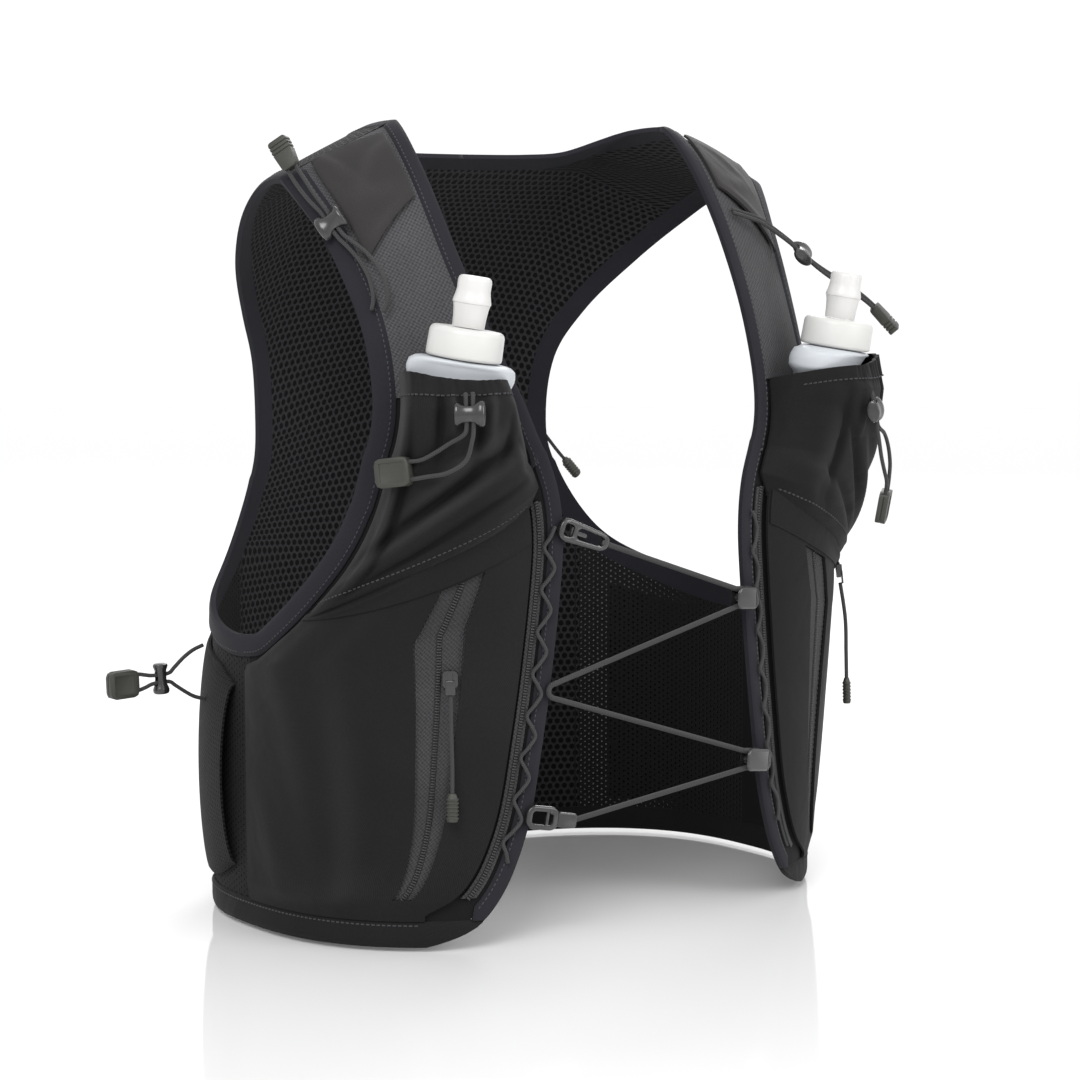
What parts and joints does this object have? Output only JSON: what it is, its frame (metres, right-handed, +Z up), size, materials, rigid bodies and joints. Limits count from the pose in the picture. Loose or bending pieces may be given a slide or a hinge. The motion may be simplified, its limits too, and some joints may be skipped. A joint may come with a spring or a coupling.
{
  "type": "running hydration vest",
  "caption": "Running hydration vest in its worn form, with two soft flasks in chest pockets, zipped rib pockets, laced front, padded mesh back and elastic drawcords.",
  "frame": {"origin": "midway between the shoulders, on the shoulder line at its neck end, where the vest sits on the wearer", "axes": "+Z up, the chest faces -Y, +X towards the wearer's left"},
  "size_m": [0.4331, 0.2906, 0.4382],
  "materials": {
    "shell": "matt tightly woven stretch cloth, near black",
    "binding": "matt folded binding, bluish dark grey",
    "knit": "speckled dark grey warp knit",
    "flap": "smooth thin stretch cloth, dark grey",
    "spacer_mesh": "black spacer mesh with hexagonal holes",
    "wing_mesh": "black fine mesh with tiny see-through dots",
    "stretch_mesh": "black stretch mesh",
    "zip_tape": "grey woven zip tape with a coated coil",
    "elastic_cord": "grey braided elastic",
    "hardware_plastic": "dark grey moulded plastic, slightly glossy",
    "grip_rubber": "matt olive-grey rubber",
    "flask_film": "frosted translucent white film",
    "silicone": "translucent white silicone"
  },
  "bodies": {
    "vest": {"front_panel_right": "shell", "strap_right": "knit", "side_panel_right": "wing_mesh", "armhole_binding_right": "binding", "front_zip_right": "zip_tape", "zip_pocket_right": "shell", "pocket_zip_right": "zip_tape", "flask_pocket_right": "shell", "shoulder_pocket_right": "flap", "side_pocket_right": "stretch_mesh", "front_panel_left": "shell", "strap_left": "knit", "side_panel_left": "wing_mesh", "armhole_binding_left": "binding", "front_zip_left": "zip_tape", "zip_pocket_left": "shell", "pocket_zip_left": "zip_tape", "flask_pocket_left": "shell", "shoulder_pocket_left": "flap", "side_pocket_left": "stretch_mesh", "back_panel": "spacer_mesh", "front_binding": "binding", "hem_band": "shell", "flask_right": "flask_film", "flask_left": "flask_film", "shoulder_cord_right": "elastic_cord", "shoulder_cord_lock_right": "hardware_plastic", "shoulder_cord_tip_right": "grip_rubber", "shoulder_cord_left": "elastic_cord", "shoulder_cord_lock_left": "hardware_plastic", "shoulder_cord_tip_left": "grip_rubber", "pocket_cord_right": "elastic_cord", "pocket_cord_lock_right": "hardware_plastic", "pocket_cord_clip_right": "grip_rubber", "pocket_cord_left": "elastic_cord", "pocket_cord_lock_left": "hardware_plastic", "pocket_cord_clip_left": "grip_rubber", "side_cord_right": "elastic_cord", "side_cord_lock_right": "hardware_plastic", "side_cord_clip_right": "grip_rubber", "zip_slider_right": "hardware_plastic", "zip_pull_right": "grip_rubber", "zip_slider_left": "hardware_plastic", "zip_pull_left": "grip_rubber", "back_zip_pull": "grip_rubber", "zigzag_cord_right": "elastic_cord", "zigzag_cord_left": "elastic_cord", "lacing_hook_right_top": "hardware_plastic", "lacing_hook_left_top": "hardware_plastic", "lacing_hook_left_bottom": "hardware_plastic", "lacing_hook_right_bottom": "hardware_plastic", "lacing_cord": "elastic_cord"},
    "cap_right": {"flask_cap_right": "flask_film", "bite_valve_right": "silicone"},
    "cap_left": {"flask_cap_left": "flask_film", "bite_valve_left": "silicone"}
  },
  "joints": [
    {"name": "turn_cap_right", "type": "hinge", "parent": "vest", "child": "cap_right", "pos_m": [-0.12857, -0.1129, -0.12024], "axis": [0.1213, -0.0951, 0.988], "range_deg": [0, 180]},
    {"name": "turn_cap_left", "type": "hinge", "parent": "vest", "child": "cap_left", "pos_m": [0.12843, -0.1129, -0.12024], "axis": [0.1213, -0.0951, 0.988], "range_deg": [0, 180]}
  ]
}
